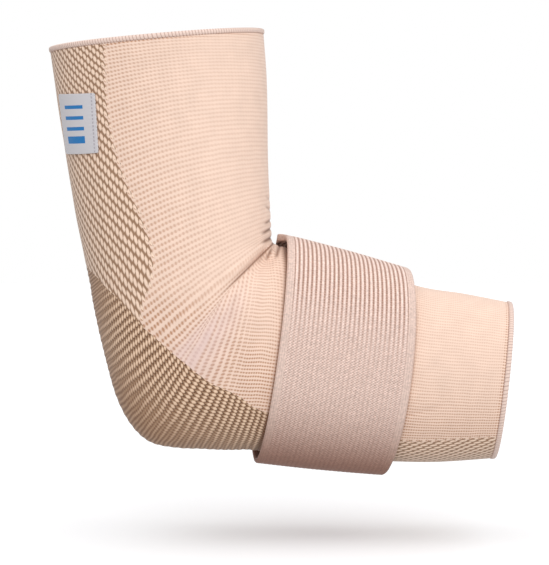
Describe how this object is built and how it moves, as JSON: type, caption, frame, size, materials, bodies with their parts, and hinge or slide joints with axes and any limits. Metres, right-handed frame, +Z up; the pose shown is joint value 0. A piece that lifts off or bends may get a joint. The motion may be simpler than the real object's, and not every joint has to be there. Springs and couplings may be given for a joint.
{
  "type": "elbow brace",
  "caption": "Elastic knitted elbow brace in its worn, bent form, with a webbing strap wound round the forearm and a sewn rim at each end.",
  "frame": {"origin": "centre of the elbow, where the axes of the upper arm and the forearm meet inside the knit", "axes": "+Z is up the upper arm, which leans back a little; +X is towards the wrist; +Y is across the plane of the bend, away from the side with the label"},
  "size_m": [0.2033, 0.0819, 0.1964],
  "materials": {
    "knit": "elastic knit, matt",
    "rim": "overlocked yarn, matt",
    "webbing": "woven elastic, ribbed",
    "hook": "hook tape",
    "label": "satin ribbon"
  },
  "bodies": {
    "root": {"sleeve": "knit", "top_rim": "rim", "wrist_rim": "rim", "strap": "webbing", "hook_patch": "hook", "label": "label"}
  },
  "joints": []
}
